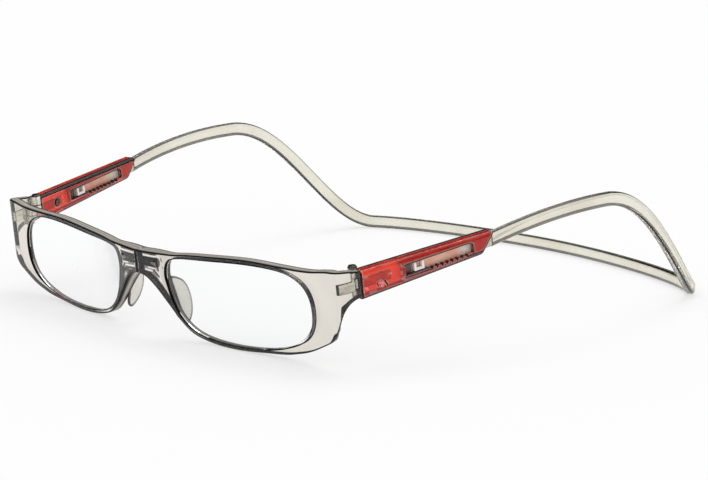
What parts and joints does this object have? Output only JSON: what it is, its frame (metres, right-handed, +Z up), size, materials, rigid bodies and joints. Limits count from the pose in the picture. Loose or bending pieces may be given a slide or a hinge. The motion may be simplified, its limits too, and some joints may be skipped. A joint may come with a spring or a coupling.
{
  "type": "neck reading glasses",
  "caption": "Reading glasses that part at a magnetic bridge; each half front hinges on a sleeve that slides on the end of a springy band behind the neck.",
  "frame": {"origin": "middle of the bounding box, on the table that the rims and the nape span of the band rest on", "axes": "+X towards the wearer's left, +Y from the lenses back to the nape, +Z up"},
  "size_m": [0.159, 0.1641, 0.0369],
  "materials": {
    "clear_grey": "polished clear plastic with a grey tint",
    "lens_clear": "polished clear lens",
    "magnet_grey": "plated magnet",
    "pad_clear": "smooth pale clear plastic",
    "hinge_steel": "bright hinge steel",
    "sleeve_red": "polished translucent red plastic",
    "clip_pale": "moulded pale plastic",
    "band_clear": "polished clear springy plastic"
  },
  "bodies": {
    "band_left": {"band_half_left": "band_clear"},
    "end_left": {"band_end_left": "band_clear", "catch_clip_left": "clip_pale"},
    "temple_left": {"sleeve_left": "sleeve_red", "hinge_sleeve_leaf_left": "hinge_steel", "leaf_rivet_left": "hinge_steel"},
    "front_left": {"front_half_left": "clear_grey", "lens_left": "lens_clear", "bridge_magnet_left": "magnet_grey", "nose_pad_left": "pad_clear", "hinge_front_leaf_left": "hinge_steel", "hinge_screw_left": "hinge_steel"},
    "band_right": {"band_half_right": "band_clear"},
    "end_right": {"band_end_right": "band_clear", "catch_clip_right": "clip_pale"},
    "temple_right": {"sleeve_right": "sleeve_red", "hinge_sleeve_leaf_right": "hinge_steel", "leaf_rivet_right": "hinge_steel"},
    "front_right": {"front_half_right": "clear_grey", "lens_right": "lens_clear", "bridge_magnet_right": "magnet_grey", "nose_pad_right": "pad_clear", "hinge_front_leaf_right": "hinge_steel", "hinge_screw_right": "hinge_steel"}
  },
  "joints": [
    {"name": "band_flex", "type": "hinge", "parent": "band_right", "child": "band_left", "pos_m": [0, 0.08205, 0.0018], "axis": [0, 0, 1], "range_deg": [0, 36], "stiffness_Nm_per_rad": 0.6},
    {"name": "band_end_flex_left", "type": "hinge", "parent": "band_left", "child": "end_left", "pos_m": [0.07673, -0.02333, 0.02915], "axis": [0, 0, 1], "range_deg": [0, 2.42]},
    {"name": "length_slide_left", "type": "slide", "parent": "end_left", "child": "temple_left", "axis": [-0.1562, -0.9726, -0.1721], "range_m": [0, 0.014]},
    {"name": "front_fold_left", "type": "hinge", "parent": "temple_left", "child": "front_left", "pos_m": [0.06721, -0.06402, 0.02192], "axis": [0, 0.1219, -0.9925], "range_deg": [0, 79.2]},
    {"name": "band_end_flex_right", "type": "hinge", "parent": "band_right", "child": "end_right", "pos_m": [-0.07673, -0.02333, 0.02915], "axis": [0, 0, -1], "range_deg": [0, 2.42]},
    {"name": "length_slide_right", "type": "slide", "parent": "end_right", "child": "temple_right", "axis": [0.1562, -0.9726, -0.1721], "range_m": [0, 0.014]},
    {"name": "front_fold_right", "type": "hinge", "parent": "temple_right", "child": "front_right", "pos_m": [-0.06721, -0.06402, 0.02192], "axis": [0, -0.1219, 0.9925], "range_deg": [0, 79.2]}
  ],
  "couplings": [
    {"joint": "band_end_flex_left", "follows": "length_slide_left", "rad_per_m": 2.95},
    {"joint": "front_fold_left", "follows": "band_flex", "ratio": 2.2},
    {"joint": "band_end_flex_right", "follows": "length_slide_right", "rad_per_m": 2.95},
    {"joint": "front_fold_right", "follows": "band_flex", "ratio": 2.2}
  ]
}
